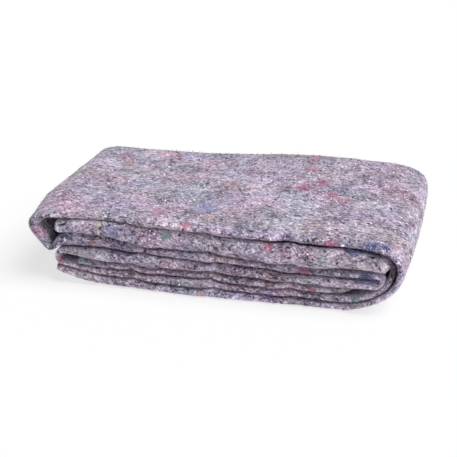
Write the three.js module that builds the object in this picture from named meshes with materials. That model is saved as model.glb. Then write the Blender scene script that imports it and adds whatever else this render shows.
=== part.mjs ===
// Floor protection fleece, folded flat: one felt sheet, halved twice across its width into four plies,
// then turned back on itself seven times along its length into eight layers, A at the top to H at the bottom.
// Millimetres. X runs along the packet, Y from its rounded front to its back, Z up from the floor.
import * as THREE from "three";

// The sheet and the packet
const SHEET_THICKNESS = 1.5;
const PACKET_DEPTH = 240;
const LAYER_GAP = 0.4;
const TURN_THICKNESS = 6.6; // the four plies pressed together where a layer turns back
const PRESSED_LENGTH = 28; // a layer thins to that over this length before it turns
const OUTER_FOLD = { behind: 0, deep: 4.2 }; // a layer's front folds, one inside the other
const INNER_FOLD = { behind: 3.3, deep: 0.9 };
const CUT_EDGE_SHORT = 2.5; // the two cut edges at the back stop this far short of the back fold

// Heights of the lines between the layers along the front, at these places along the length
const LINE_AT = [-168, -150, -120, -77, 7, 116, 150];
const LINES = [
  { over: "A", heights: [79.5, 80, 80.5, 79.7, 77.8, 76.2, 75.5] },
  { over: "B", heights: [71.3, 72.9, 73, 71.1, 69.1, 67.3, 67] },
  { over: "C", heights: [63.5, 65, 65, 60.5, 58.4, 55.5, 55.5] },
  { over: "D", heights: [55.8, 57.2, 57, 49.2, 46.9, 42.2, 42.8] },
  { over: "E", heights: [40, 41, 41.3, 38.4, 38, 33.4, 34.4] },
  { over: "F", heights: [33, 31, 28, 26.5, 25.4, 24.6, 26.8] },
  { over: "G", heights: [27.8, 23.6, 19.8, 18.2, 17, 15.9, 16.7] },
  { over: "H", heights: [20.6, 16.2, 11.8, 10.2, 8.6, 7.9, 9] },
  { over: "floor", heights: [12.4, 6.4, 1.4, 0, 0, 0, 1] },
];

// How far each layer's front sits behind the packet's front, and the shares of a turn that lead to the next
const FRONT_BEHIND = { A: 0, B: 1.5, C: 1, D: 3.5, E: 1, F: 3.5, G: 2, H: 0 };
const FRONT_MOVES = { from: 0.42, to: 0.68 };

// Layer B is set back further beyond its left end, and layer C swells up in front of it to meet layer A.
// The swell is full from a share of the set-back on, over a share of its depth, and fades in C's turn.
const SET_BACK = { layer: "B", size: 17.5, from: -162, to: -134 };
const SWELL = { layer: "C", under: "A", deep: 16, least: 6, fullFrom: 0.5, fullOver: 0.4 };
const SWELL_IN_TURN = { from: 0.42, to: 0.14, lower: 0.55 };

// The turn after layer C first reaches out and is then set back too, over these shares of it,
// and the fronts of layers D and E reach out before it, slightly apart
const TURN_OUT = { layer: "C", size: 5, starts: { from: 0, to: 0.15 }, ends: { from: 0.4, to: 0.22 } };
const TURN_BACK = { layer: "C", size: 22, starts: { from: 0.2, to: 0.4 }, ends: { from: 1, to: 0.75 } };
const FRONT_REACH = { apart: { D: 0.5, E: -0.9 }, from: 116, to: 156, size: 11.6 };

// The way along the sheet, from its cut end under the packet to the one inside: each layer and its next turn.
// start is where the turn leaves the layer, reach is how far the middle of the turn goes, and square is
// how much squarer its upper half is than an ellipse, which has 2.
const WAY = [
  { layer: "H", start: 134, reach: 192, square: 2.6, steps: 10 },
  { layer: "A", nose: true, steps: 14 },
  { layer: "D", start: 157, reach: 161.2, square: 2, steps: 6 },
  { layer: "E", start: -157, reach: -166, square: 2, steps: 7 },
  { layer: "G", start: 134, reach: 183.3, square: 2.6, steps: 10 },
  { layer: "B", start: -159.4, reach: -163.5, square: 2, steps: 6 },
  { layer: "C", start: 134, reach: 173.9, square: 2.6, steps: 10 },
  { layer: "F" },
];
const OUTER_END = -167;
const INNER_END = -150;
const END_SLANT = { size: 5, long: 30 }; // the outer end's lower plies stop short of its upper ones
const RUN_AT = [-157, -138, -120, -98, -77, -35, 7, 61, 110]; // places that all the layers share
const SECTION_AT = [30]; // places between front and back that all the plies share

// The hollow nose at the left end, where layer A droops over the lower bundle and comes back as layer D,
// and how far from its middle, as a share of its length, it is no longer pressed thin
const NOSE_PRESSED = { from: 0.25, to: 0.5 };
const NOSE = [
  { x: -150, z: 76.2 },
  { x: -177, z: 74.2 },
  { x: -191.5, z: 64.5 },
  { x: -185, z: 48.5 },
  { x: -174, z: 37.2 },
  { x: -162, z: 45.5 },
  { x: -150, z: 49 },
];

// Unevenness of the whole packet
const WANDER = { wave: 210, size: 1.6 }; // the layers' fronts wander in and out along the sheet
const RIGHT_BULGE = { from: 110, to: 190, size: 8.5, middle: 70, half: 190 };
const RIGHT_LEAN = { from: 110, to: 180, size: 9, level: 51, half: 36 }; // the top leans out, the foot in
const LEFT_FILL = { from: -130, to: -190, long: 8, tall: 3, level: 35, half: 40, deep: 75 }; // fuller behind
const BACK_RISE = { from: -100, to: 65, low: -0.042, high: 0.096 }; // of the height, left and right
const LENGTH_MIDDLE = -0.75; // where the middle of the whole packet's length lies on the tables' own X

const HALF_SHEET = SHEET_THICKNESS / 2;

function mix(a, b, share) {
  return a + (b - a) * share;
}

function smooth(share) {
  const f = Math.min(Math.max(share, 0), 1);
  return f * f * (3 - 2 * f);
}

// The height of one line: a curve through the row's heights that never overshoots them
function lineHeight(heights, x) {
  const last = LINE_AT.length - 1;
  const place = Math.min(Math.max(x, LINE_AT[0]), LINE_AT[last]);
  const k = Math.max(LINE_AT.findLastIndex((at, i) => at <= place && i < last), 0);
  const slope = (i) => (heights[i + 1] - heights[i]) / (LINE_AT[i + 1] - LINE_AT[i]);
  const tangent = (i) => {
    if (i === 0 || i === last) return slope(Math.min(i, last - 1));
    const turns = slope(i - 1) * slope(i) <= 0;
    return turns ? 0 : (2 * slope(i - 1) * slope(i)) / (slope(i - 1) + slope(i));
  };
  const long = LINE_AT[k + 1] - LINE_AT[k];
  const f = (place - LINE_AT[k]) / long;
  const ease = f * (1 - f) * long;
  return mix(heights[k], heights[k + 1], smooth(f)) + ease * (tangent(k) * (1 - f) - tangent(k + 1) * f);
}

// The middle height and half thickness of a layer at a place along the packet
function layerAt(name, x) {
  const row = LINES.findIndex((line) => line.over === name);
  const top = lineHeight(LINES[row].heights, x) - LAYER_GAP;
  const bottom = lineHeight(LINES[row + 1].heights, x);
  return { z: (top + bottom) / 2, half: (top - bottom) / 2 };
}

// The same, pressed thin next to the layer's round turns
function pressedAt(name, x) {
  const { z, half } = layerAt(name, x);
  const k = WAY.findIndex((leg) => leg.layer === name);
  const roundEnds = [WAY[k - 1], WAY[k]].filter((turn) => turn?.start).map((turn) => turn.start);
  const toTurn = Math.min(...roundEnds.map((end) => Math.abs(x - end)));
  return { z, half: mix(TURN_THICKNESS / 2, half, smooth(toTurn / PRESSED_LENGTH)) };
}

// How far a place lies on the way from one place to another, eased at both ends
function reachShare(place, { from, to }) {
  return smooth((place - from) / (to - from));
}

function behindAt(name, x) {
  return FRONT_BEHIND[name] + (name === SET_BACK.layer ? SET_BACK.size * reachShare(x, SET_BACK) : 0);
}

// How far a layer's front swells up, to just under the layer that it meets, and how deep that goes
function swellAt(name, x) {
  if (name !== SWELL.layer) return { swell: 0, deep: SWELL.deep };
  const [own, upper] = [pressedAt(name, x), pressedAt(SWELL.under, x)];
  const room = upper.z - upper.half - LAYER_GAP - own.z - own.half;
  const share = reachShare(x, SET_BACK);
  return { swell: room * smooth(share / SWELL.fullFrom), deep: mix(SWELL.least, SWELL.deep, share) };
}

// How far a layer's front reaches out, and up or down
function reachAt(name, x) {
  const apart = FRONT_REACH.apart[name];
  const share = apart ? reachShare(x, FRONT_REACH) : 0;
  return { reach: FRONT_REACH.size * share, apart: apart * share || 0 };
}

// How far a layer's turn is moved at one share of it
function turnMove(name, { layer, size, starts, ends }, share) {
  return name === layer ? size * reachShare(share, starts) * reachShare(share, ends) : 0;
}

// One run of a layer from one end of the packet towards the other
function run(name, from, to) {
  const way = Math.sign(to - from);
  const between = RUN_AT.filter((x) => (x - from) * way > 0 && (to - x) * way > 0);
  const along = between.sort((a, b) => (a - b) * way);
  return [from, ...along, to].map((x) => ({
    x,
    ...pressedAt(name, x),
    normal: [0, way],
    behind: behindAt(name, x),
    ...reachAt(name, x),
    ...swellAt(name, x),
  }));
}

// The front of a turn. A swell gets lower where the turns lie closer together.
function turnFront(from, to, x, share) {
  const { swell, deep } = swellAt(from, x);
  const low = 1 - SWELL_IN_TURN.lower * Math.sin(Math.PI * share);
  const behind = mix(behindAt(from, x), behindAt(to, x), reachShare(share, FRONT_MOVES));
  const { reach, apart } = reachAt(from, x);
  return {
    behind: behind + turnMove(from, TURN_BACK, share),
    reach: reach + turnMove(from, TURN_OUT, share),
    apart: mix(apart, reachAt(to, x).apart, share),
    swell: swell * low * reachShare(share, SWELL_IN_TURN),
    deep,
  };
}

// A round turn from one layer into another, without the two places it shares with their runs
function roundTurn(from, to, { start, reach, square, steps }) {
  const [a, b] = [layerAt(from, start), layerAt(to, start)];
  const long = reach - start;
  const tall = (a.z - b.z) / 2;
  return Array.from({ length: steps - 1 }, (_, i) => {
    const share = (i + 1) / steps;
    const [s, c] = [Math.sin(Math.PI * share), Math.cos(Math.PI * share)];
    const power = c * tall > 0 ? 2 / square : 1;
    const [out, along] = [tall * s ** (2 - power), long * Math.sign(c) * Math.abs(c) ** (2 - power)];
    const size = Math.hypot(out, along);
    return {
      x: start + long * s ** power,
      z: (a.z + b.z) / 2 + tall * Math.sign(c) * Math.abs(c) ** power,
      half: TURN_THICKNESS / 2,
      normal: [out / size, along / size],
      ...turnFront(from, to, start, share),
    };
  });
}

// The nose from layer A into layer D
function noseTurn(from, to, { steps }) {
  const curve = new THREE.CatmullRomCurve3(NOSE.map(({ x, z }) => new THREE.Vector3(x, 0, z)));
  const [a, b] = [layerAt(from, NOSE[0].x), layerAt(to, NOSE.at(-1).x)];
  return Array.from({ length: steps - 1 }, (_, i) => {
    const share = (i + 1) / steps;
    const point = curve.getPointAt(share);
    const way = curve.getTangentAt(share);
    const full = share < 0.5 ? a.half : b.half;
    return {
      x: point.x,
      z: point.z,
      half: mix(TURN_THICKNESS / 2, full, reachShare(Math.abs(share - 0.5), NOSE_PRESSED)),
      normal: [-way.z, way.x],
      ...turnFront(from, to, point.x, share),
    };
  });
}

// Places along the sheet's middle line, each with its thickness, its normal and where its front sits
function places() {
  let from = OUTER_END;
  return WAY.flatMap((leg, i) => {
    const next = WAY[i + 1];
    const to = leg.nose ? NOSE[0].x : leg.start ?? INNER_END;
    const straight = run(leg.layer, from, to);
    from = leg.nose ? NOSE.at(-1).x : to;
    if (!next) return straight;
    const turn = leg.nose ? noseTurn : roundTurn;
    return [...straight, ...turn(leg.layer, next.layer, leg)];
  });
}

// Part of an ellipse in the section, from one angle to another, without its first point
function fold(centreY, centreN, deep, tall, fromAngle, toAngle, steps) {
  return Array.from({ length: steps }, (_, i) => {
    const angle = mix(fromAngle, toAngle, (i + 1) / steps);
    const [c, s] = [Math.cos(angle), Math.sin(angle)];
    const size = Math.hypot(tall * c, deep * s);
    const inward = Math.sign(toAngle - fromAngle);
    return {
      y: centreY + deep * c,
      n: centreN + tall * s,
      side: [(-inward * tall * c) / size, (-inward * deep * s) / size],
    };
  });
}

// One ply, straight from front to back or back
function ply(ys, n, way) {
  return ys.map((y) => ({ y, n, side: [0, way] }));
}

// The four plies across one place: the middle of the sheet and the direction of its first side.
// It starts at the cut edge of the third ply, turns at the inner front fold, the back fold
// and the outer front fold, and ends at the cut edge of the lowest ply.
function section({ half, behind, deep }) {
  const step = (half - HALF_SHEET) / 3;
  const front = behind - PACKET_DEPTH / 2;
  const back = PACKET_DEPTH / 2 - HALF_SHEET - step;
  const cut = PACKET_DEPTH / 2 - CUT_EDGE_SHORT;
  const [outer, inner] = [OUTER_FOLD, INNER_FOLD].map((f) => front + HALF_SHEET + f.behind + f.deep);
  const swollen = front + deep;
  const quarter = Math.PI / 2;
  return [
    ...ply([cut, ...SECTION_AT, swollen, inner], -step, -1),
    ...fold(inner, 0, INNER_FOLD.deep, step, -quarter, -3 * quarter, 2),
    ...ply([swollen, ...SECTION_AT, back], step, 1),
    ...fold(back, 2 * step, step, step, -quarter, quarter, 2),
    ...ply([...SECTION_AT, swollen, outer], 3 * step, -1),
    ...fold(outer, 0, OUTER_FOLD.deep, 3 * step, quarter, 3 * quarter, 4),
    ...ply([swollen, ...SECTION_AT, cut], -3 * step, 1),
  ];
}

// The packet's own unevenness, which leaves the underside flat
function uneven(x, y, z) {
  const toBack = y / PACKET_DEPTH + 0.5;
  const across = Math.max(1 - ((y - RIGHT_BULGE.middle) / RIGHT_BULGE.half) ** 2, 0);
  const bulge = RIGHT_BULGE.size * reachShare(x, RIGHT_BULGE) * across;
  const lean = (RIGHT_LEAN.size * reachShare(x, RIGHT_LEAN) * (z - RIGHT_LEAN.level)) / RIGHT_LEAN.half;
  const fill = reachShare(x, LEFT_FILL) * smooth((toBack * PACKET_DEPTH) / LEFT_FILL.deep);
  const filled = z + (fill * LEFT_FILL.tall * (z - LEFT_FILL.level)) / LEFT_FILL.half;
  const rise = 1 + mix(BACK_RISE.low, BACK_RISE.high, reachShare(x, BACK_RISE)) * smooth(toBack);
  return [x + bulge + lean - fill * LEFT_FILL.long, y, filled * rise];
}

// Points of both sides of the sheet at one place along it
function rows(place, travelled) {
  const { half, deep } = place;
  const wander = WANDER.size * Math.sin((2 * Math.PI * travelled) / WANDER.wave);
  const front = place.behind - PACKET_DEPTH / 2;
  const slant = END_SLANT.size * smooth(1 - travelled / END_SLANT.long);
  return [1, -1].map((sideOf) =>
    section(place).map((p) => {
      const y = p.y + sideOf * HALF_SHEET * p.side[0];
      const flat = p.n + sideOf * HALF_SHEET * p.side[1];
      const share = (flat + half) / (2 * half);
      const near = smooth((deep - y + front) / (deep * (1 - SWELL.fullOver)));
      const n = flat + place.swell * near * share;
      const x = place.x + n * place.normal[0] + place.reach * near + slant * (1 - share);
      return uneven(x, y + wander, place.z + n * place.normal[1] + place.apart * near);
    }),
  );
}

// The closed sheet: two sides joined along the four edges
function sheetGeometry() {
  const line = places();
  let travelled = 0;
  const grid = line.map((place, i) => {
    const before = line[Math.max(i - 1, 0)];
    travelled += Math.hypot(place.x - before.x, place.z - before.z);
    return rows(place, travelled);
  });
  const [lastI, lastJ] = [grid.length - 1, grid[0][0].length - 1];
  const at = (i, j, side) => (i * 2 + side) * (lastJ + 1) + j;
  const index = [];
  const quad = (a, b, c, d) => index.push(a, b, c, a, c, d);
  // Every four corners are split along the same slant, so that twisted plies keep their distance
  const patch = (i, j) => {
    const [here, next, across] = [grid[i][0][j], grid[i + 1][0][j], grid[i][0][j + 1]];
    const slant = (next[0] - here[0]) * (across[1] - here[1]) > 0;
    [0, 1].forEach((side) => {
      const round = [at(i, j, side), at(i + 1, j, side), at(i + 1, j + 1, side), at(i, j + 1, side)];
      if (!slant) round.push(round.shift());
      quad(...(side ? [round[0], round[3], round[2], round[1]] : round));
    });
  };
  for (let i = 0; i < lastI; i += 1) {
    for (let j = 0; j < lastJ; j += 1) patch(i, j);
    quad(at(i, 0, 0), at(i, 0, 1), at(i + 1, 0, 1), at(i + 1, 0, 0));
    quad(at(i, lastJ, 0), at(i + 1, lastJ, 0), at(i + 1, lastJ, 1), at(i, lastJ, 1));
  }
  for (let j = 0; j < lastJ; j += 1) {
    quad(at(0, j, 0), at(0, j + 1, 0), at(0, j + 1, 1), at(0, j, 1));
    quad(at(lastI, j, 0), at(lastI, j, 1), at(lastI, j + 1, 1), at(lastI, j + 1, 0));
  }
  const geometry = new THREE.BufferGeometry();
  geometry.setAttribute("position", new THREE.Float32BufferAttribute(grid.flat(3), 3));
  geometry.setIndex(index);
  geometry.computeVertexNormals();
  return geometry;
}

const felt = new THREE.MeshStandardMaterial({ color: 0xa89eae, roughness: 0.95, metalness: 0 });
const fleece = new THREE.Mesh(sheetGeometry(), felt);
fleece.name = "fleece";
fleece.position.x = -LENGTH_MIDDLE;

const part = new THREE.Group();
part.add(fleece);
export default part;
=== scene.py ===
# The looks of the folded floor protection fleece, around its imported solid.
# The sheet's tables are in millimetres, as it was drafted: X along the packet,
# Y from its rounded front to its back and Z up.
import math

import bpy
import numpy as np
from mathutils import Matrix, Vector
from mathutils.bvhtree import BVHTree


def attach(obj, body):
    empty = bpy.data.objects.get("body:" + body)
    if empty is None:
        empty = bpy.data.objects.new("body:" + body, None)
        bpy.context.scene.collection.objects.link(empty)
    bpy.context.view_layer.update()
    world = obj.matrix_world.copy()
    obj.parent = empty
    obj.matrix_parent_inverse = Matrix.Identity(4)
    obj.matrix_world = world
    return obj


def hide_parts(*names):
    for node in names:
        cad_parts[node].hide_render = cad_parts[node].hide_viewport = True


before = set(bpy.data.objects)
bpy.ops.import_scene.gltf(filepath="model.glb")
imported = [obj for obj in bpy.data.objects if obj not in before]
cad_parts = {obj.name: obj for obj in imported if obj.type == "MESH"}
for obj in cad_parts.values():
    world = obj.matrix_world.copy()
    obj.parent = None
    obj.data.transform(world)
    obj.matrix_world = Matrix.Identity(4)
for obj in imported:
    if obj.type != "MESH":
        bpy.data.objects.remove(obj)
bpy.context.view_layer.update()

MM = 0.001

# The sheet and the packet
SHEET_THICKNESS = 1.5
HALF_SHEET = SHEET_THICKNESS / 2
PACKET_DEPTH = 240
LENGTH_MIDDLE = -0.75  # the middle of the packet's length in these tables
LAYER_GAP = 0.4
TURN_THICKNESS = 6.6  # of the four plies in a round turn
PRESSED_LENGTH = 28  # over which a layer gets as thin as its turn
OUTER_FOLD = {"behind": 0, "deep": 9}
INNER_FOLD = {"behind": 8.1, "deep": 0.9}
CUT_EDGE_SHORT = 2.5  # how far the cut edges stay short of the packet's back

# Heights of the lines between the layers along the front, at these places along the length
LINE_AT = np.array([-168, -150, -120, -77, 7, 116, 150])
LINES = {
    "A": np.array([79.5, 80, 80.5, 79.7, 77.8, 76.2, 75.5]),
    "B": np.array([71.3, 72.9, 73, 71.1, 69.1, 67.3, 67]),
    "C": np.array([63.5, 65, 65, 60.5, 58.4, 55.5, 55.5]),
    "D": np.array([55.8, 57.2, 57, 49.2, 46.9, 42.2, 42.8]),
    "E": np.array([40, 41, 41.3, 38.4, 38, 33.4, 34.4]),
    "F": np.array([33, 31, 28, 26.5, 25.4, 24.6, 26.8]),
    "G": np.array([27.8, 23.6, 19.8, 18.2, 17, 15.9, 16.7]),
    "H": np.array([20.6, 16.2, 11.8, 10.2, 8.6, 7.9, 9]),
    "floor": np.array([12.4, 6.4, 1.4, 0, 0, 0, 1]),
}
LINE_NAMES = list(LINES)

# How far each layer's front sits behind the packet's front,
# and between which shares of a turn it moves on to the next layer's place
FRONT_BEHIND = {"A": 0, "B": 1.5, "C": -1.5, "D": 3.5, "E": 1, "F": 3.5, "G": 2, "H": 0}
FRONT_MOVES = {"from": 0.42, "to": 0.68}

# Past its left end layer B is set back further, and layer C swells up in front of it to meet layer A.
# The swell is full from a share of the set-back on, over a share of its depth, and fades in C's turn.
# Towards the left it is pressed up closer, into the rounded front of layer A.
SET_BACK = {"layer": "B", "size": 17.5, "from": -162, "to": -134}
SWELL = {"layer": "C", "under": "A", "deep": 16, "least": 6, "full_from": 0.5, "full_over": 0.4}
SWELL_IN_TURN = {"from": 0.42, "to": 0.14, "lower": 0.55}
SWELL_PRESS = {"from": 0, "to": -80, "size": 1.8}

# The turn after layer C first reaches out and is then set back too, over these shares of it,
# and the fronts of layers D and E reach out before it, slightly apart
TURN_OUT = {"layer": "C", "size": 14, "starts": {"from": 0, "to": 0.15}, "ends": {"from": 0.4, "to": 0.22}}
TURN_BACK = {"layer": "C", "size": 22, "starts": {"from": 0.2, "to": 0.4}, "ends": {"from": 1, "to": 0.75}}
FRONT_REACH = {"apart": {"D": 0.5, "E": -1.5}, "from": 116, "to": 156, "size": 15.5}

# The way along the sheet, each layer and the turn after it.
# Step is the length between places on the layer, and steps is their number in the turn.
WAY = [
    {"layer": "H", "step": 6, "start": 134, "reach": 192, "square": 2.6, "steps": 26},
    {"layer": "A", "step": 4, "nose": True, "steps": 44},
    {"layer": "D", "step": 5, "start": 157, "reach": 161.2, "square": 2, "steps": 10},
    {"layer": "E", "step": 5, "start": -157, "reach": -166, "square": 2, "steps": 14},
    {"layer": "G", "step": 5, "start": 134, "reach": 183.3, "square": 2.6, "steps": 18},
    {"layer": "B", "step": 5, "start": -159.4, "reach": -163.5, "square": 2, "steps": 10},
    {"layer": "C", "step": 5, "start": 134, "reach": 173.9, "square": 2.6, "steps": 18},
    {"layer": "F", "step": 5},
]

# The sheet's two cut ends. At the outer one the lower plies end further in than the upper ones.
OUTER_END = -167
INNER_END = -142
END_SLANT = {"size": 5, "long": 30}

# The hollow nose: the points (x, z) of its middle line. By shares of the way round it, its wall gets loose
# and is drawn in again, and away from its middle it gets as thick as the layers at its two ends.
NOSE = [(-150, 76.2), (-177, 74.2), (-189, 64.9), (-182.2, 50.7), (-174, 37.4), (-162.3, 45.5), (-150, 49)]
NOSE_WALL = {"thickness": 14, "starts": {"from": 0.24, "to": 0.46}, "ends": {"from": 0.76, "to": 0.58}}
NOSE_PRESSED = {"from": 0.25, "to": 0.5}

# Unevenness of the whole packet: the fronts wander along the sheet, the right end bulges, with its top
# leaning out and its foot in, the left end is fuller behind, and the back is higher or lower by these shares
WANDER = {"wave": 210, "size": 1.6}
RIGHT_BULGE = {"from": 110, "to": 190, "size": 8.5, "middle": 70, "half": 190}
RIGHT_LEAN = {"from": 110, "to": 180, "size": 9, "level": 51, "half": 36}
LEFT_FILL = {"from": -130, "to": -190, "long": 8, "tall": 3, "level": 35, "half": 40, "deep": 75}
BACK_RISE = {"from": -100, "to": 65, "low": -0.042, "high": 0.096}

# Small waves of the lines between the layers. The next line's waves are out of step with the last one's.
RIPPLE = [
    {"wave": 97, "size": 0.9},
    {"wave": 43, "size": 0.7},
    {"wave": 27, "size": 0.45},
    {"wave": 17, "size": 0.3},
]
RIPPLE_OUT_OF_STEP = 0.37
RIPPLE_SPAN = {"from": -150, "to": 125, "ease": 30}

# How finely the nose's line is worked out between its points,
# and how finely the plies and their folds are divided between the back and the front
CURVE_STEPS = 40
NEAR_FRONT = 40
HIDDEN_PLY = {"far": 3, "near": 7}
SHOWN_PLY = {"far": 14, "near": 9}
SMALL_FOLD_STEPS = 4
FRONT_FOLD_STEPS = 12

# The sheet's flat map counts from the middle of its front fold, past three plies and two folds that share
# their ends, and each side's map is moved this far, so that the two sides have different grain
PLY_PLACES = HIDDEN_PLY["far"] + HIDDEN_PLY["near"]
FRONT_FOLD_MIDDLE = 3 * PLY_PLACES + 2 * SMALL_FOLD_STEPS - 3 + FRONT_FOLD_STEPS // 2
MAP_APART = 4 * PACKET_DEPTH


def mix(a, b, share):
    return a + (b - a) * share


def smooth(share):
    f = np.clip(share, 0, 1)
    return f * f * (3 - 2 * f)


def ripple(name, x):
    """The small ups and downs of one line between two layers, which fade towards the packet's ends."""
    if name in ("A", "floor"):
        return 0
    row = LINE_NAMES.index(name)
    turned = RIPPLE_OUT_OF_STEP * row * row
    waves = (w["size"] * np.sin(2 * math.pi * (x / w["wave"] + turned)) for w in RIPPLE)
    inside = smooth((x - RIPPLE_SPAN["from"]) / RIPPLE_SPAN["ease"])
    return sum(waves) * inside * smooth((RIPPLE_SPAN["to"] - x) / RIPPLE_SPAN["ease"])


def line_height(name, x):
    """The height of one line: a curve through its heights that never overshoots them, and its ripple."""
    heights = LINES[name]
    place = np.clip(x, LINE_AT[0], LINE_AT[-1])
    slopes = np.diff(heights) / np.diff(LINE_AT)
    before, after = slopes[:-1], slopes[1:]
    one_way = before * after > 0
    both = np.where(one_way, before + after, 1)
    inner = np.where(one_way, 2 * before * after / both, 0)
    tangents = np.concatenate([slopes[:1], inner, slopes[-1:]])
    k = np.clip(np.searchsorted(LINE_AT, place, side="right") - 1, 0, len(LINE_AT) - 2)
    long = LINE_AT[k + 1] - LINE_AT[k]
    f = (place - LINE_AT[k]) / long
    ease = f * (1 - f) * long
    level = mix(heights[k], heights[k + 1], smooth(f))
    sloped = ease * (tangents[k] * (1 - f) - tangents[k + 1] * f)
    return level + sloped + ripple(name, x)


def layer_at(name, x):
    """The middle height and half thickness of a layer at a place along the packet."""
    below = LINE_NAMES[LINE_NAMES.index(name) + 1]
    top = line_height(name, x) - LAYER_GAP
    bottom = line_height(below, x)
    return (top + bottom) / 2, (top - bottom) / 2


def round_ends(name):
    """Where a layer's own round turns begin."""
    k = [leg["layer"] for leg in WAY].index(name)
    return [leg["start"] for leg in WAY[max(k - 1, 0) : k + 1] if "start" in leg]


def pressed_at(name, x):
    """The same as layer_at, pressed thin next to a round turn."""
    z, half = layer_at(name, x)
    to_turn = np.min([np.abs(x - at) for at in round_ends(name)], axis=0)
    return z, mix(TURN_THICKNESS / 2, half, smooth(to_turn / PRESSED_LENGTH))


def reach_share(place, span):
    """How far a place lies on the way from one place to another, eased at both ends."""
    return smooth((place - span["from"]) / (span["to"] - span["from"]))


def behind_at(name, x):
    """How far a layer's front sits behind the packet's front."""
    more = SET_BACK["size"] if name == SET_BACK["layer"] else 0
    return FRONT_BEHIND[name] + more * reach_share(x, SET_BACK)


def swell_at(name, x):
    """How far a layer's front swells up, to the layer that it meets, and how deep that goes."""
    if name != SWELL["layer"]:
        return np.zeros_like(x), np.full_like(x, SWELL["deep"])
    z, half = pressed_at(name, x)
    upper_z, upper_half = pressed_at(SWELL["under"], x)
    room = upper_z - upper_half - LAYER_GAP - z - half
    pressed = room + SWELL_PRESS["size"] * reach_share(x, SWELL_PRESS)
    share = reach_share(x, SET_BACK)
    return pressed * smooth(share / SWELL["full_from"]), mix(SWELL["least"], SWELL["deep"], share)


def reach_at(name, x):
    """How far a layer's front reaches out, and up or down."""
    share = reach_share(x, FRONT_REACH) * (name in FRONT_REACH["apart"])
    return FRONT_REACH["size"] * share, FRONT_REACH["apart"].get(name, 0) * share


def turn_move(name, move, share):
    """How far a layer's turn is moved at one share of it."""
    size = move["size"] * (name == move["layer"])
    return size * reach_share(share, move["starts"]) * reach_share(share, move["ends"])


def place_rows(*columns):
    return np.stack(np.broadcast_arrays(*columns), axis=1)


def run(name, start, end, step):
    """One run of a layer from one end of the packet towards the other."""
    x = np.linspace(start, end, max(round(abs(end - start) / step), 2) + 1)
    z, half = pressed_at(name, x)
    front = behind_at(name, x), *reach_at(name, x), *swell_at(name, x)
    return place_rows(x, z, half, 0, np.sign(end - start), *front)


def turn_front(name, after, x, share):
    """The front of a turn. A swell gets lower where the turns lie closer together."""
    swell, deep = swell_at(name, x)
    low = 1 - SWELL_IN_TURN["lower"] * np.sin(math.pi * share)
    behind = mix(behind_at(name, x), behind_at(after, x), reach_share(share, FRONT_MOVES))
    (reach, apart), (_, apart_after) = reach_at(name, x), reach_at(after, x)
    return (
        behind + turn_move(name, TURN_BACK, share),
        reach + turn_move(name, TURN_OUT, share),
        mix(apart, apart_after, share),
        swell * low * reach_share(share, SWELL_IN_TURN),
        deep,
    )


def round_turn(name, after, leg):
    """A round turn from one layer into another, without the two places it shares with their runs."""
    start = leg["start"]
    (z_a, _), (z_b, _) = layer_at(name, start), layer_at(after, start)
    share = np.arange(1, leg["steps"]) / leg["steps"]
    s, c = np.sin(math.pi * share), np.cos(math.pi * share)
    long, tall = leg["reach"] - start, (z_a - z_b) / 2
    power = np.where(c * tall > 0, 2 / leg["square"], 1)
    out = tall * s ** (2 - power)
    along = long * np.sign(c) * np.abs(c) ** (2 - power)
    size = np.hypot(out, along)
    x = start + long * s**power
    z = (z_a + z_b) / 2 + tall * np.sign(c) * np.abs(c) ** power
    front = turn_front(name, after, np.full_like(share, start), share)
    return place_rows(x, z, TURN_THICKNESS / 2, out / size, along / size, *front)


def between_points(t, before, a, b, after):
    """Part of a centripetal curve from point a to point b, which heeds the points before and after."""
    four = [before, a, b, after]
    k = np.cumsum([0, *(np.linalg.norm(q - p) ** 0.5 for p, q in zip(four, four[1:]))])
    at = mix(k[1], k[2], t)[:, None]
    lines = [mix(four[i], four[i + 1], (at - k[i]) / (k[i + 1] - k[i])) for i in range(3)]
    bends = [mix(lines[i], lines[i + 1], (at - k[i]) / (k[i + 2] - k[i])) for i in range(2)]
    return mix(bends[0], bends[1], (at - k[1]) / (k[2] - k[1]))


def smooth_line(points, steps):
    """Even steps along a curve through a few points: places and directions."""
    p = np.array(points, float)
    ends = [2 * p[0] - p[1], *p, 2 * p[-1] - p[-2]]
    t = np.linspace(0, 1, CURVE_STEPS, endpoint=False)
    parts = [between_points(t, *ends[k : k + 4]) for k in range(len(ends) - 3)]
    line = np.concatenate([*parts, p[-1:]])
    far = np.concatenate([[0], np.cumsum(np.linalg.norm(np.diff(line, axis=0), axis=1))])
    at = np.linspace(0, far[-1], steps + 1)
    even = np.stack([np.interp(at, far, line[:, i]) for i in (0, 1)], axis=1)
    ways = np.gradient(even, axis=0)
    return even, ways / np.linalg.norm(ways, axis=1, keepdims=True)


def nose_turn(name, after, leg):
    """The hollow nose at the left, where layer A droops over the lower bundle and comes back as D."""
    even, ways = smooth_line(NOSE, leg["steps"])
    (x, z), (way_x, way_z) = even[1:-1].T, ways[1:-1].T
    share = np.arange(1, leg["steps"]) / leg["steps"]
    end_half = np.where(share < 0.5, layer_at(name, NOSE[0][0])[1], layer_at(after, NOSE[-1][0])[1])
    loose = reach_share(share, NOSE_WALL["starts"]) * reach_share(share, NOSE_WALL["ends"])
    wall = mix(TURN_THICKNESS, NOSE_WALL["thickness"], loose)
    half = mix(wall / 2, end_half, reach_share(np.abs(share - 0.5), NOSE_PRESSED))
    return place_rows(x, z, half, -way_z, way_x, *turn_front(name, after, x, share))


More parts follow.
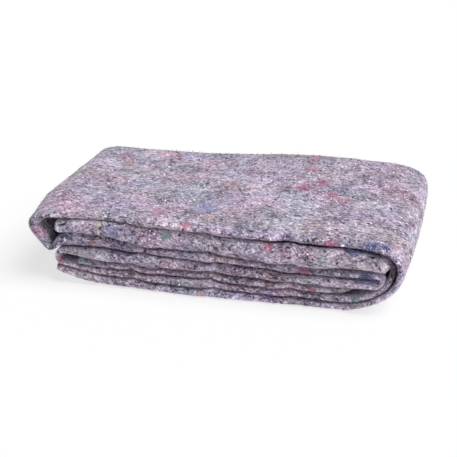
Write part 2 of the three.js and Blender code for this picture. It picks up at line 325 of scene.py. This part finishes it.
def places():
    """Places along the sheet's middle line, each with its thickness, its normal and its front."""
    start, made = OUTER_END, []
    for leg, after in zip(WAY, [*WAY[1:], None]):
        nose = "nose" in leg
        end = NOSE[0][0] if nose else leg.get("start", INNER_END)
        made.append(run(leg["layer"], start, end, leg["step"]))
        start = NOSE[-1][0] if nose else end
        if after:
            turn = nose_turn if nose else round_turn
            made.append(turn(leg["layer"], after["layer"], leg))
    return np.concatenate(made)


def fold(centre_y, centre_n, deep, tall, from_angle, to_angle, steps):
    """Part of an ellipse, without its first point: rows of y, n and the side's two directions."""
    angle = np.linspace(from_angle, to_angle, steps + 1)[1:]
    c, s = np.cos(angle), np.sin(angle)
    size = np.hypot(tall * c, deep * s)
    way = np.sign(from_angle - to_angle)
    side_y, side_n = way * tall * c / size, way * deep * s / size
    return np.stack([centre_y + deep * c, centre_n + tall * s, side_y, side_n])


def ply(fold_y, back_y, near_y, n, way, detail):
    """One ply: rows of y, n and the side's two directions, from its back to its front if way is -1."""
    ys = np.concatenate([
        np.linspace(back_y, near_y, detail["far"], endpoint=False),
        mix(fold_y, near_y, np.linspace(1, 0, detail["near"]) ** 2),
    ])
    ys = ys if way < 0 else ys[::-1]
    return np.stack([ys, np.full_like(ys, n), np.zeros_like(ys), np.full_like(ys, way)])


def section(half, behind):
    """The four plies across one place, from the cut edge of the third ply to that of the fourth."""
    step = (half - HALF_SHEET) / 3
    front = behind - PACKET_DEPTH / 2
    back = PACKET_DEPTH / 2 - HALF_SHEET - step
    cut = PACKET_DEPTH / 2 - CUT_EDGE_SHORT
    near = front + NEAR_FRONT
    outer, inner = (front + HALF_SHEET + f["behind"] + f["deep"] for f in (OUTER_FOLD, INNER_FOLD))
    quarter = math.pi / 2
    return np.concatenate([
        ply(inner, cut, near, -step, -1, HIDDEN_PLY),
        fold(inner, 0, INNER_FOLD["deep"], step, -quarter, -3 * quarter, SMALL_FOLD_STEPS),
        ply(inner, back, near, step, 1, HIDDEN_PLY)[:, 1:],
        fold(back, 2 * step, step, step, -quarter, quarter, SMALL_FOLD_STEPS),
        ply(outer, back, near, 3 * step, -1, HIDDEN_PLY)[:, 1:],
        fold(outer, 0, OUTER_FOLD["deep"], 3 * step, quarter, 3 * quarter, FRONT_FOLD_STEPS),
        ply(outer, cut, near, -3 * step, 1, SHOWN_PLY)[:, 1:],
    ], axis=1)


def uneven(x, y, z):
    """The packet's own unevenness, which leaves the underside flat."""
    to_back = y / PACKET_DEPTH + 0.5
    across = np.maximum(1 - ((y - RIGHT_BULGE["middle"]) / RIGHT_BULGE["half"]) ** 2, 0)
    bulge = RIGHT_BULGE["size"] * reach_share(x, RIGHT_BULGE) * across
    lean = RIGHT_LEAN["size"] * reach_share(x, RIGHT_LEAN) * (z - RIGHT_LEAN["level"]) / RIGHT_LEAN["half"]
    fill = reach_share(x, LEFT_FILL) * smooth(to_back * PACKET_DEPTH / LEFT_FILL["deep"])
    filled = z + fill * LEFT_FILL["tall"] * (z - LEFT_FILL["level"]) / LEFT_FILL["half"]
    rise = 1 + mix(BACK_RISE["low"], BACK_RISE["high"], reach_share(x, BACK_RISE)) * smooth(to_back)
    moved = x + bulge + lean - fill * LEFT_FILL["long"] - LENGTH_MIDDLE
    return np.stack([moved, y, filled * rise], axis=-1)


def steps_along(*columns):
    """The way travelled along a line of points up to each of them."""
    return np.concatenate([[0], np.cumsum(np.hypot(*np.diff(columns)))])


def sheet_across(place, travelled):
    """Points of both sides of the sheet across one place, and their places on its flat map."""
    x, z, half, normal_x, normal_z, behind, reach, apart, swell, deep = place
    y, n, side_y, side_n = section(half, behind)
    wander = WANDER["size"] * math.sin(2 * math.pi * travelled / WANDER["wave"])
    front = behind - PACKET_DEPTH / 2
    slant = END_SLANT["size"] * smooth(1 - travelled / END_SLANT["long"])

    def near_front(at):
        return smooth((deep - at + front) / (deep * (1 - SWELL["full_over"])))

    def swollen(at, level):
        return level + swell * near_front(at) * (level + half) / (2 * half)

    across = steps_along(y, swollen(y, n))
    across -= across[FRONT_FOLD_MIDDLE]
    points, flat = [], []
    for side in (1, -1):
        side_at = y + side * HALF_SHEET * side_y
        level = n + side * HALF_SHEET * side_n
        out = swollen(side_at, level)
        near = near_front(side_at)
        shift = slant * (half - level) / (2 * half) + reach * near
        height = z + out * normal_z + apart * near
        points.append(uneven(x + out * normal_x + shift, side_at + wander, height))
        flat.append(np.stack([np.full_like(across, travelled), across + side * MAP_APART], axis=-1))
    return points, flat


def sheet_grid():
    """The sheet's points by place along it, side and place across it, and their places on its flat map."""
    line = places()
    rows = [sheet_across(*row) for row in zip(line, steps_along(line[:, 0], line[:, 1]))]
    points, flat = zip(*rows)
    return np.array(points), np.array(flat)


def grid_faces(places_long, places_across):
    """Four-cornered faces of the closed sheet: two sides joined along the four edges."""
    at = np.arange(places_long * 2 * places_across).reshape(places_long, 2, places_across)

    def band(a, b, c, d):
        return np.stack([a, b, c, d], axis=-1).reshape(-1, 4)

    upper, lower = at[:, 0], at[:, 1]
    return np.concatenate([
        band(upper[:-1, :-1], upper[1:, :-1], upper[1:, 1:], upper[:-1, 1:]),
        band(lower[:-1, :-1], lower[:-1, 1:], lower[1:, 1:], lower[1:, :-1]),
        band(upper[:-1, 0], lower[:-1, 0], lower[1:, 0], upper[1:, 0]),
        band(upper[:-1, -1], upper[1:, -1], lower[1:, -1], lower[:-1, -1]),
        band(upper[0, :-1], upper[0, 1:], lower[0, 1:], lower[0, :-1]),
        band(upper[-1, :-1], lower[-1, :-1], lower[-1, 1:], upper[-1, 1:]),
    ])


def new_object(name, data):
    made = bpy.data.objects.new(name, data)
    bpy.context.scene.collection.objects.link(made)
    return made


def new_piece(name, points, faces, material):
    """A piece of points in metres and their faces, which rides on the part."""
    mesh = bpy.data.meshes.new(name)
    mesh.from_pydata(points.reshape(-1, 3), [], faces.tolist())
    mesh.materials.append(material)
    mesh.shade_smooth()
    piece = new_object(name, mesh)
    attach(piece, "root")
    return piece


def mesh_values(items, name, width, kind=np.float32):
    values = np.empty(len(items) * width, kind)
    items.foreach_get(name, values)
    return values.reshape(-1, width)


def add_flat_map(mesh, flat):
    """The sheet's own flat coordinates, in metres, as a map that its material reads."""
    corners = mesh_values(mesh.loops, "vertex_index", 1, np.int32)[:, 0]
    cloth = mesh.uv_layers.new(name="cloth")
    cloth.data.foreach_set("uv", (flat.reshape(-1, 2)[corners] * MM).astype(np.float32).ravel())


# Noise lies around its middle. Shades far from 0 are darkened, and none gets darker than the darkest.
NOISE_MIDDLE = 0.5
BEND_ROUGHNESS = 0.6
SHADE_DIP = 0.5
DARKEST = 0.04
SCREEN_GAMMA = 2.2

# How felt and fibres take the light
FINISH = {"Roughness": 0.95, "Specular IOR Level": 0.15, "Sheen Weight": 0.25, "Sheen Roughness": 0.6}


def screen(red, green, blue):
    return (red / 255, green / 255, blue / 255, 1)


class Shader:
    """A material's node tree with short calls: a value that is a socket is linked, any other is set."""

    def __init__(self, name):
        self.material = bpy.data.materials.new(name)
        self.material.use_nodes = True
        self.tree = self.material.node_tree
        self.tree.nodes.clear()

    def node(self, kind, values, **settings):
        made = self.tree.nodes.new(kind)
        for key, value in settings.items():
            setattr(made, key, value)
        for key, value in values.items():
            if isinstance(value, bpy.types.NodeSocket):
                self.tree.links.new(value, made.inputs[key])
            else:
                made.inputs[key].default_value = value
        return made

    def math(self, operation, a, b):
        return self.node("ShaderNodeMath", {0: a, 1: b}, operation=operation).outputs[0]

    def vector(self, operation, *values):
        return self.node("ShaderNodeVectorMath", dict(enumerate(values)), operation=operation).outputs[0]

    def between(self, value, zero_at, one_at):
        """0 at one value and 1 at another, eased between them."""
        values = {"Value": value, "From Min": zero_at, "From Max": one_at}
        return self.node("ShaderNodeMapRange", values, interpolation_type="SMOOTHSTEP").outputs[0]

    def blend(self, share, a, b):
        return self.node("ShaderNodeMix", {0: share, 6: a, 7: b}, data_type="RGBA").outputs[2]

    def ramp(self, value, stops, interpolation="LINEAR"):
        """Tints by a value from 0 to 1. The stops are made first and then moved to their places."""
        made = self.node("ShaderNodeValToRGB", {0: value})
        ramp = made.color_ramp
        ramp.interpolation = interpolation
        while len(ramp.elements) < len(stops):
            ramp.elements.new(0.5)
        for element, (at, colour) in zip(ramp.elements, stops):
            element.position = at
            element.color = screen(*colour)
        return made.outputs[0]

    def wave(self, noise, size):
        """Noise as a shade around 0, which brightens and darkens."""
        return self.math("MULTIPLY", self.math("SUBTRACT", noise, NOISE_MIDDLE), size)

    def lit(self, tint, shades):
        """A tint as on a screen, made lighter or darker by shades, as the light that a surface returns."""
        total = shades[0]
        for shade in shades[1:]:
            total = self.math("ADD", total, shade)
        dip = self.math("MULTIPLY", self.math("MULTIPLY", total, total), SHADE_DIP)
        shaded = self.vector("ADD", tint, self.math("SUBTRACT", total, dip))
        colour = self.vector("MAXIMUM", shaded, (DARKEST,) * 3)
        return self.node("ShaderNodeGamma", {"Color": colour, "Gamma": SCREEN_GAMMA}).outputs[0]

    def noise(self, where, scale, detail=2.0, roughness=0.5):
        values = {"Vector": where, "Scale": scale, "Detail": detail, "Roughness": roughness}
        return self.node("ShaderNodeTexNoise", values)

    def cells(self, where, scale):
        return self.node("ShaderNodeTexVoronoi", {"Vector": where, "Scale": scale})

    def moved(self, where, offset, turn=0.0, stretch=(1, 1, 1)):
        values = {"Vector": where, "Location": offset, "Rotation": (0, 0, turn), "Scale": stretch}
        return self.node("ShaderNodeMapping", values, vector_type="TEXTURE").outputs[0]

    def bent(self, where, bend):
        """A place moved about by noise, at most by half of the bend's size in metres."""
        noise = self.noise(where, bend["scale"], bend["detail"], BEND_ROUGHNESS).outputs["Color"]
        around = self.vector("SUBTRACT", noise, (NOISE_MIDDLE,) * 3)
        return self.vector("MULTIPLY_ADD", around, (bend["size"],) * 3, where)

    def surface(self, values):
        shader = self.node("ShaderNodeBsdfPrincipled", values).outputs[0]
        self.node("ShaderNodeOutputMaterial", {"Surface": shader})
        return self.material

    def cloth(self, colour, height, relief):
        """Matt cloth in a colour, with a fine relief by its height."""
        values = {"Height": height, "Distance": relief["size"], "Strength": relief["share"]}
        normal = self.node("ShaderNodeBump", values).outputs[0]
        return self.surface({"Base Color": colour, "Normal": normal, **FINISH})


# The felt's tints as they look in even light, 0 to 255, all about equally bright: two sets of soft clouds
PINK_TO_GREEN = [(0.3, (195, 148, 176)), (0.49, (174, 160, 180)), (0.68, (153, 164, 173))]
BROWN_TO_BLUE = [(0.3, (182, 160, 166)), (0.5, (174, 160, 180)), (0.7, (156, 159, 193))]
CLOUDS = [
    {"tints": PINK_TO_GREEN, "scale": 17, "from": (1.3, 0.4, 0)},
    {"tints": BROWN_TO_BLUE, "scale": 21, "from": (5.1, 2.2, 0)},
]
CLOUD_DETAIL = 2.5

# Spots of other tints in the felt: cells by their number per metre, of which only rare ones show.
# A spot fades in from its edge to its middle, where it is this share of the tint.
SPOTS = {"scale": 62, "rare": 0.8, "share": 0.4, "edge": 0.45, "middle": 0.1}
SPOT_BEND = {"scale": 90, "detail": 1, "size": 0.012}
SPOT_TINTS = [
    (0.00, (205, 92, 118)),
    (0.16, (104, 140, 148)),
    (0.30, (214, 148, 120)),
    (0.42, (92, 98, 164)),
    (0.53, (222, 170, 190)),
    (0.68, (88, 140, 122)),
    (0.80, (206, 80, 100)),
    (0.90, (132, 120, 84)),
]

# The felt's lighter and darker shades by their number per metre: clouds, mottle and grain, which are bent,
# and streaks of fibres that lie three ways
GRAIN_BEND = {"scale": 260, "detail": 3, "size": 0.008}
SHADES = [
    {"scale": 22, "detail": 3, "rough": 0.6, "size": 0.75, "from": (4.4, 7.7, 0)},
    {"scale": 80, "detail": 4, "rough": 0.65, "size": 0.85, "from": (8.7, 6.5, 0)},
    {"scale": 380, "detail": 4, "rough": 0.75, "size": 1.75, "from": (0, 0, 0)},
]
STREAKS = [
    {"turn": math.radians(8), "scale": 620, "size": 0.8, "from": (2.2, 9.1, 0)},
    {"turn": math.radians(-20), "scale": 700, "size": 0.8, "from": (6.4, 3.8, 0)},
    {"turn": math.radians(42), "scale": 660, "size": 0.8, "from": (7.3, 4.9, 0)},
]
STREAK_STRETCH = (5, 1, 1)
FELT_RELIEF = {"size": 0.002, "share": 0.3}


def cloud_tint(felt, flat):
    """The felt's two sets of clouds, half of each."""
    tints = []
    for row in CLOUDS:
        noise = felt.noise(felt.moved(flat, row["from"]), row["scale"], CLOUD_DETAIL)
        tints.append(felt.ramp(noise.outputs["Fac"], row["tints"]))
    return felt.blend(0.5, *tints)


def spotted_tint(felt, flat, tint):
    """A tint with a few soft spots of other tints in it."""
    cells = felt.cells(felt.bent(flat, SPOT_BEND), SPOTS["scale"])
    drawn = felt.node("ShaderNodeSeparateColor", {0: cells.outputs["Color"]})
    near = felt.between(cells.outputs["Distance"], SPOTS["edge"], SPOTS["middle"])
    here = felt.math("GREATER_THAN", drawn.outputs[1], SPOTS["rare"])
    share = felt.math("MULTIPLY", felt.math("MULTIPLY", near, here), SPOTS["share"])
    return felt.blend(share, tint, felt.ramp(drawn.outputs[0], SPOT_TINTS, "CONSTANT"))


def felt_shades(felt, flat):
    """The felt's lighter and darker shades, in the order of their tables."""
    where = felt.bent(flat, GRAIN_BEND)
    shades = []
    for row in SHADES:
        noise = felt.noise(felt.moved(where, row["from"]), row["scale"], row["detail"], row["rough"])
        shades.append(felt.wave(noise.outputs["Fac"], row["size"]))
    for row in STREAKS:
        streak = felt.moved(flat, row["from"], row["turn"], STREAK_STRETCH)
        shades.append(felt.wave(felt.noise(streak, row["scale"]).outputs["Fac"], row["size"]))
    return shades


def felt_material():
    """Needled felt of mixed fibres: clouds and spots of tint, in lighter and darker shades."""
    felt = Shader("felt")
    flat = felt.node("ShaderNodeUVMap", {}, uv_map="cloth").outputs[0]
    tint = spotted_tint(felt, flat, cloud_tint(felt, flat))
    shades = felt_shades(felt, flat)
    mottle, grain = shades[1:3]
    return felt.cloth(felt.lit(tint, shades), felt.math("ADD", mottle, grain), FELT_RELIEF)


def fleece_piece(material):
    points, flat = sheet_grid()
    faces = grid_faces(points.shape[0], points.shape[2])
    piece = new_piece("fleece_sheet", points * MM, faces, material)
    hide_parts("fleece")
    add_flat_map(piece.data, flat)
    return piece


# Loose fibres on the felt: how many, how long and how wide in millimetres, and how far they stand off
FIBRES = [
    {"name": "pale_fibres", "tint": (240, 224, 246), "count": 12000, "long": (2.5, 7), "wide": (0.1, 0.3)},
    {"name": "dark_fibres", "tint": (78, 61, 86), "count": 20000, "long": (2.5, 7), "wide": (0.1, 0.3)},
    {"name": "navy_fibres", "tint": (70, 62, 86), "count": 1000, "long": (2, 5), "wide": (1.1, 2.2)},
    {"name": "white_specks", "tint": (255, 253, 255), "count": 1100, "long": (1.2, 3.2), "wide": (0.9, 1.9)},
    {"name": "mauve_fibres", "tint": (166, 149, 172), "count": 12000, "long": (3, 9), "wide": (0.12, 0.3)},
]
STAND_OFF = (0.1, 0.9)
FIBRE_SEED = 11

# A fibre at its tail, middle and tip: shares of its stand-off and, on either side, of its width.
# Its middle bows sideways by about this share of its length.
FIBRE_LIFTS = (-0.2, 1, 0.6)
FIBRE_SIDES = (0.3, 0.5, 0.3)
FIBRE_BOW = 0.1

# Each fibre is a little lighter or darker than the next, by noise of this number per metre
FIBRE_SHADE = {"scale": 160, "size": 0.5}
FIBRE_RELIEF = {"size": 0.0002, "share": 0.3}

# Fibres grow where these looks off a face, straight and tilted up and down, run free for so many metres.
# None grow on faces that are this low and look down, which lie on the floor.
OPEN_LOOKS = [{"tilt": 0, "far": 0.012}, {"tilt": 0.9, "far": 0.004}, {"tilt": -0.9, "far": 0.004}]
ON_FLOOR = {"height": 0.002, "down": -0.5}

# Tufts of coloured fibres: where their middles lie, in millimetres, and how wide they spread
TINTS = {
    "red": (206, 118, 150),
    "pink": (218, 164, 192),
    "orange": (206, 164, 158),
    "tan": (214, 204, 190),
    "teal": (128, 168, 164),
    "green": (112, 120, 122),
    "blue": (58, 92, 176),
    "navy": (70, 88, 146),
    "lavender": (160, 164, 212),
    "white": (250, 248, 252),
}
TUFTS = [
    {"tint": "pink", "at": (-156, 83, 77), "wide": 7},
    {"tint": "orange", "at": (-143, 54, 77), "wide": 7},
    {"tint": "lavender", "at": (-16, -68, 78), "wide": 9},
    {"tint": "pink", "at": (-59, -91, 79), "wide": 7},
    {"tint": "red", "at": (-23, -117, 78), "wide": 4},
    {"tint": "orange", "at": (-5, 5, 79), "wide": 6},
    {"tint": "orange", "at": (-7, -94, 78), "wide": 5},
    {"tint": "green", "at": (29, -109, 77), "wide": 5},
    {"tint": "red", "at": (73, 16, 81), "wide": 6},
    {"tint": "red", "at": (90, 23, 81), "wide": 5},
    {"tint": "pink", "at": (70, 105, 84), "wide": 7},
    {"tint": "pink", "at": (74, 73, 83), "wide": 7},
    {"tint": "pink", "at": (119, -20, 78), "wide": 6},
    {"tint": "red", "at": (107, 1, 80), "wide": 4},
    {"tint": "tan", "at": (94, -107, 76), "wide": 4},
    {"tint": "pink", "at": (184, -102, 68), "wide": 4},
    {"tint": "navy", "at": (148, -114, 66), "wide": 4},
    {"tint": "navy", "at": (162, -118, 72), "wide": 6},
    {"tint": "navy", "at": (174, -114, 71), "wide": 4},
    {"tint": "tan", "at": (-115, -119, 71), "wide": 4},
    {"tint": "lavender", "at": (-102, -120, 66), "wide": 4},
    {"tint": "teal", "at": (-44, -117, 64), "wide": 4},
    {"tint": "orange", "at": (-126, -115, 48), "wide": 3},
    {"tint": "teal", "at": (-135, -117, 27), "wide": 4},
    {"tint": "red", "at": (-163, -117, 25), "wide": 3},
    {"tint": "pink", "at": (-186, -117, 58), "wide": 5},
    {"tint": "pink", "at": (-183, -113, 52), "wide": 5},
    {"tint": "orange", "at": (-8, -119, 8), "wide": 4},
    {"tint": "white", "at": (-4, -116, 51), "wide": 1},
    {"tint": "red", "at": (61, -119, 63), "wide": 4},
    {"tint": "red", "at": (123, -118, 72), "wide": 4},
    {"tint": "teal", "at": (115, -120, 54), "wide": 3},
    {"tint": "white", "at": (154, -118, 51), "wide": 2},
    {"tint": "blue", "at": (159, -115, 37), "wide": 4},
    {"tint": "red", "at": (96, -115, 39), "wide": 4},
    {"tint": "red", "at": (105, -117, 22), "wide": 3},
    {"tint": "blue", "at": (63, -115, 7), "wide": 3},
    {"tint": "teal", "at": (149, -117, 17), "wide": 4},
]
TUFT = {"long": (1.5, 4), "wide": (0.15, 0.45), "thick": 2}  # thick counts fibres per square millimetre


def open_faces(mesh):
    """The faces that open air reaches: their corners, centres, normals and areas."""
    corners = mesh_values(mesh.vertices, "co", 3)
    faces = mesh_values(mesh.loops, "vertex_index", 1, np.int32).reshape(-1, 4)
    centres = mesh_values(mesh.polygons, "center", 3)
    normals = mesh_values(mesh.polygons, "normal", 3)
    areas = mesh_values(mesh.polygons, "area", 1)[:, 0]
    tree = BVHTree.FromPolygons(corners.tolist(), faces.tolist())
    free = (centres[:, 2] > ON_FLOOR["height"]) | (normals[:, 2] > ON_FLOOR["down"])
    for look in OPEN_LOOKS:
        ways = normals + np.array([0, 0, look["tilt"]])
        for k in np.nonzero(free)[0]:
            start = Vector(centres[k] + normals[k] * HALF_SHEET * MM)
            free[k] = tree.ray_cast(start, Vector(ways[k]), look["far"])[0] is None
    return {
        "corners": corners[faces[free]],
        "centres": centres[free],
        "normals": normals[free],
        "areas": areas[free],
    }


def unit(vectors):
    return vectors / np.linalg.norm(vectors, axis=1, keepdims=True)


def ribbons(feet, normals, ways, long, wide, lift, bow):
    """Short flat fibres of two faces each: their points in metres and their faces."""
    sides = unit(np.cross(normals, ways))
    tail_up, middle_up, tip_up = (normals * lift * share for share in FIBRE_LIFTS)
    spine = [
        feet - ways * long / 2 + tail_up,
        feet + sides * bow + middle_up,
        feet + ways * long / 2 + tip_up,
    ]
    rails = [p + sides * wide * share * sign for p, share in zip(spine, FIBRE_SIDES) for sign in (-1, 1)]
    points = np.stack(rails, axis=1)
    first = np.arange(len(feet))[:, None] * len(rails)
    faces = np.concatenate([first + np.array(quad) for quad in ((0, 1, 3, 2), (2, 3, 5, 4))])
    return points, faces


def scattered(faces, shares, count, long, wide, chance):
    """Fibres that lie any way round on faces picked by their shares: points in metres and faces."""
    picked = chance.choice(len(shares), count, p=shares / shares.sum())
    a, b, c, d = faces["corners"][picked].transpose(1, 0, 2)
    u, v = chance.random((2, count, 1))
    feet = mix(mix(a, b, u), mix(d, c, u), v)
    up = faces["normals"][picked]
    ways = unit(np.cross(up, chance.normal(size=(count, 3))))
    long = chance.uniform(*long, (count, 1)) * MM
    wide = chance.uniform(*wide, (count, 1)) * MM
    lift = chance.uniform(*STAND_OFF, (count, 1)) * MM
    bow = chance.normal(size=(count, 1)) * long * FIBRE_BOW
    points, quads = ribbons(feet, up, ways, long, wide, lift, bow)
    points[..., 2] = np.maximum(points[..., 2], 0)
    return points, quads


def fibre_material(name, tint=None):
    """Fibres in lighter and darker shades of one tint, or of the tints that they carry."""
    fibre = Shader(name)
    where = fibre.node("ShaderNodeTexCoord", {}).outputs["Object"]
    noise = fibre.noise(where, FIBRE_SHADE["scale"]).outputs["Fac"]
    own = tint or fibre.node("ShaderNodeAttribute", {}, attribute_name="tint").outputs["Vector"]
    shade = fibre.wave(noise, FIBRE_SHADE["size"])
    return fibre.cloth(fibre.lit(own, [shade]), noise, FIBRE_RELIEF)


def fibre_piece(row, faces, chance):
    points, quads = scattered(faces, faces["areas"], row["count"], row["long"], row["wide"], chance)
    material = fibre_material(row["name"], screen(*row["tint"])[:3])
    return new_piece(row["name"], points, quads, material)


def tuft_piece(faces, chance):
    """The coloured tufts: each a patch of fibres, thickest in its middle."""
    clusters, tints = [], []
    for row in TUFTS:
        far = np.linalg.norm(faces["centres"] - np.array(row["at"]) * MM, axis=1) / (row["wide"] * MM)
        count = round(TUFT["thick"] * math.pi * row["wide"] ** 2)
        shares = faces["areas"] * np.exp(-far * far)
        clusters.append(scattered(faces, shares, count, TUFT["long"], TUFT["wide"], chance))
        tints.append(np.tile(screen(*TINTS[row["tint"]]), (clusters[-1][0][..., 0].size, 1)))
    starts = np.cumsum([0, *(points[..., 0].size for points, _ in clusters)])
    points = np.concatenate([points for points, _ in clusters])
    quads = np.concatenate([quads + start for (_, quads), start in zip(clusters, starts)])
    piece = new_piece("coloured_fibres", points, quads, fibre_material("coloured_fibres"))
    shown = piece.data.color_attributes.new("tint", "FLOAT_COLOR", "POINT")
    shown.data.foreach_set("color", np.concatenate(tints).astype(np.float32).ravel())
    return piece


# The studio, in metres: a pale floor that glows a little, a soft light from above and an even sky
FLOOR_HALF = 40.0
FLOOR_PAINT = {
    "Base Color": (0.3, 0.3, 0.3, 1),
    "Roughness": 0.9,
    "Specular IOR Level": 0.1,
    "Emission Color": (1, 1, 1, 1),
    "Emission Strength": 0.67,
}
SUN_POWER = 3.12
SUN_SPREAD = math.radians(50)
SUN_FROM = (0.68, -0.12, 1.0)
SKY_COLOUR = (0.94, 0.95, 1.0, 1)
SKY_STRENGTH = 0.29


def floor():
    mesh = bpy.data.meshes.new("floor")
    corners = [(x * FLOOR_HALF, y * FLOOR_HALF, 0) for x, y in ((-1, -1), (1, -1), (1, 1), (-1, 1))]
    mesh.from_pydata(corners, [], [(0, 1, 2, 3)])
    mesh.materials.append(Shader("pale_floor").surface(FLOOR_PAINT))
    new_object("floor", mesh)


def soft_light():
    sun = bpy.data.lights.new("soft_light", "SUN")
    sun.energy = SUN_POWER
    sun.angle = SUN_SPREAD
    lamp = new_object("soft_light", sun)
    lamp.rotation_euler = Vector(SUN_FROM).to_track_quat("Z", "Y").to_euler()


def sky():
    world = bpy.data.worlds.new("sky")
    world.use_nodes = True
    background = world.node_tree.nodes["Background"]
    background.inputs["Color"].default_value = SKY_COLOUR
    background.inputs["Strength"].default_value = SKY_STRENGTH
    bpy.context.scene.world = world


# The camera at the photograph's angle, so many metres away. Its frame is square,
# and the shift sets the packet where the photograph has it.
VIEW_TURN = math.radians(13.4)
VIEW_RISE = math.radians(23.35)
VIEW_FAR = 1.128
FRAME_PIXELS = 457
LENS_PIXELS = 1000
SENSOR = 36
SHIFT_PIXELS = (-7.8, 24.9)


def camera():
    data = bpy.data.cameras.new("camera")
    data.sensor_width = SENSOR
    data.lens = LENS_PIXELS / FRAME_PIXELS * SENSOR
    data.shift_x, data.shift_y = (pixels / FRAME_PIXELS for pixels in SHIFT_PIXELS)
    view = new_object("camera", data)
    level = math.cos(VIEW_RISE)
    back = Vector((math.sin(VIEW_TURN) * level, -math.cos(VIEW_TURN) * level, math.sin(VIEW_RISE)))
    view.location = back * VIEW_FAR
    view.rotation_euler = back.to_track_quat("Z", "Y").to_euler()
    bpy.context.scene.camera = view
    bpy.context.scene.view_settings.view_transform = "Standard"


camera()
floor()
soft_light()
sky()
fleece = fleece_piece(felt_material())
faces = open_faces(fleece.data)
chance = np.random.default_rng(FIBRE_SEED)
fibres = [fibre_piece(row, faces, chance) for row in FIBRES]
fibres.append(tuft_piece(faces, chance))
